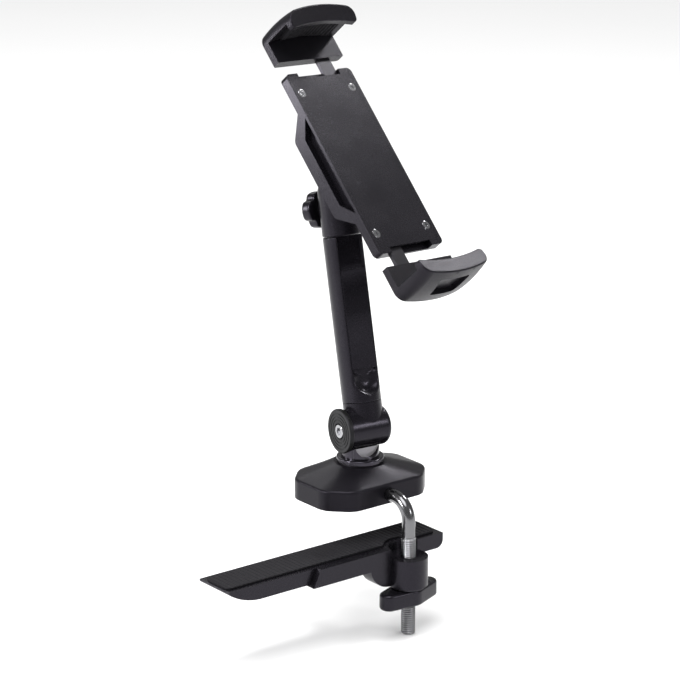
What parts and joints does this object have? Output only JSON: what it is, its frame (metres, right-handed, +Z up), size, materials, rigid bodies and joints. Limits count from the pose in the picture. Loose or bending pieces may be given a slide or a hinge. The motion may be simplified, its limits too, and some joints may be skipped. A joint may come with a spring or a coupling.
{
  "type": "desk clamp phone holder",
  "caption": "Desk-clamped phone holder: octagonal base on a hooked clamp bolt, swivelling and tilting rigid arm, ball-head cradle with two jaws that slide apart together.",
  "frame": {"origin": "middle of the base's underside, on the swivel axis", "axes": "+X along the desk's front edge to the right, +Y away from the user over the desk, +Z up"},
  "size_m": [0.1558, 0.1349, 0.3289],
  "materials": {
    "black_plastic": "satin black moulded plastic, fine grain",
    "grey_cap": "dark grey-green moulded plastic",
    "hard_plastic": "smooth black moulded plastic",
    "soft_rubber": "matt rubber",
    "bright_steel": "zinc plated steel",
    "black_metal": "black coated metal"
  },
  "bodies": {
    "base": {"base_housing": "black_plastic", "base_pad": "soft_rubber", "hook_bolt": "bright_steel", "turret_washer": "hard_plastic"},
    "clamp_carrier": {"thrust_washer": "black_metal"},
    "clamp": {"clamp_arm": "black_plastic", "clamp_pad": "soft_rubber"},
    "wing_nut": {"wing_knob": "black_plastic", "knob_nut": "bright_steel"},
    "turret": {"turret_post": "black_plastic", "swivel_bolt": "bright_steel"},
    "arm": {"lower_knuckle": "black_plastic", "pivot_cap": "grey_cap", "pivot_bolt": "bright_steel", "pivot_nut": "bright_steel", "friction_washers": "hard_plastic", "arm_tube": "black_plastic", "channel_cover": "black_plastic"},
    "head": {"head_housing": "black_plastic", "clamp_cup": "hard_plastic", "swivel_plug": "hard_plastic"},
    "lock": {"lock_knob": "black_plastic", "lock_screw": "bright_steel"},
    "ball": {"ball_stud": "black_metal", "stem_nut": "bright_steel"},
    "cradle": {"back_cover": "black_plastic", "front_plate": "black_plastic", "cradle_screws": "bright_steel", "pinion_screw": "bright_steel"},
    "upper_jaw": {"top_jaw": "black_plastic", "top_rail": "hard_plastic", "top_grip": "soft_rubber"},
    "lower_jaw": {"bottom_jaw": "black_plastic", "bottom_rail": "hard_plastic", "bottom_grip": "soft_rubber"},
    "pinion": {"sync_pinion": "hard_plastic"}
  },
  "joints": [
    {"name": "turret_swivel", "type": "hinge", "parent": "base", "child": "turret", "pos_m": [0, 0, 0.0192], "axis": [0, 0, 1], "continuous": true},
    {"name": "arm_tilt", "type": "hinge", "parent": "turret", "child": "arm", "pos_m": [0, 0, 0.037], "axis": [-0.9925, 0.1219, 0], "range_deg": [-17, 41.5]},
    {"name": "head_swivel", "type": "hinge", "parent": "arm", "child": "head", "pos_m": [0.00654, 0.02863, 0.16059], "axis": [0.028, 0.2283, 0.9732], "range_deg": [-104.6, 75.4]},
    {"name": "lock_knob_turn", "type": "hinge", "parent": "head", "child": "lock", "pos_m": [0.00631, 0.02681, 0.15281], "axis": [-0.1354, 0.9655, -0.2226], "range_deg": [-270, 90]},
    {"name": "cradle_tilt", "type": "hinge", "parent": "head", "child": "ball", "pos_m": [0.00654, 0.02863, 0.16059], "axis": [0.9904, 0.1255, -0.058], "range_deg": [-55, 28]},
    {"name": "cradle_roll", "type": "hinge", "parent": "ball", "child": "cradle", "pos_m": [0.00654, 0.02863, 0.16059], "axis": [0.132, -0.7337, 0.6665], "continuous": true},
    {"name": "top_jaw_slide", "type": "slide", "parent": "cradle", "child": "upper_jaw", "axis": [-0.0411, 0.6678, 0.7432], "range_m": [-0.0072, 0.04]},
    {"name": "bottom_jaw_slide", "type": "slide", "parent": "cradle", "child": "lower_jaw", "axis": [0.0411, -0.6678, -0.7432], "range_m": [-0.0074, 0.0402]},
    {"name": "pinion_spin", "type": "hinge", "parent": "cradle", "child": "pinion", "pos_m": [0.0064, 0.0309, 0.16312], "axis": [0.132, -0.7337, 0.6665], "range_deg": [-88, 472]},
    {"name": "clamp_slide", "type": "slide", "parent": "base", "child": "clamp_carrier", "axis": [0, 0, 1], "range_m": [-0.015, 0.01375]},
    {"name": "wing_nut_spin", "type": "hinge", "parent": "clamp_carrier", "child": "wing_nut", "pos_m": [0, -0.0416, -0.04], "axis": [0, 0, 1], "range_deg": [-4350, 3990]},
    {"name": "clamp_swing", "type": "hinge", "parent": "clamp_carrier", "child": "clamp", "pos_m": [0, -0.0416, -0.04], "axis": [0, 0, 1], "continuous": true}
  ],
  "couplings": [
    {"joint": "bottom_jaw_slide", "follows": "top_jaw_slide", "ratio": 1},
    {"joint": "pinion_spin", "follows": "top_jaw_slide", "rad_per_m": 204.08},
    {"joint": "wing_nut_spin", "follows": "clamp_slide", "rad_per_m": 5026.5}
  ]
}
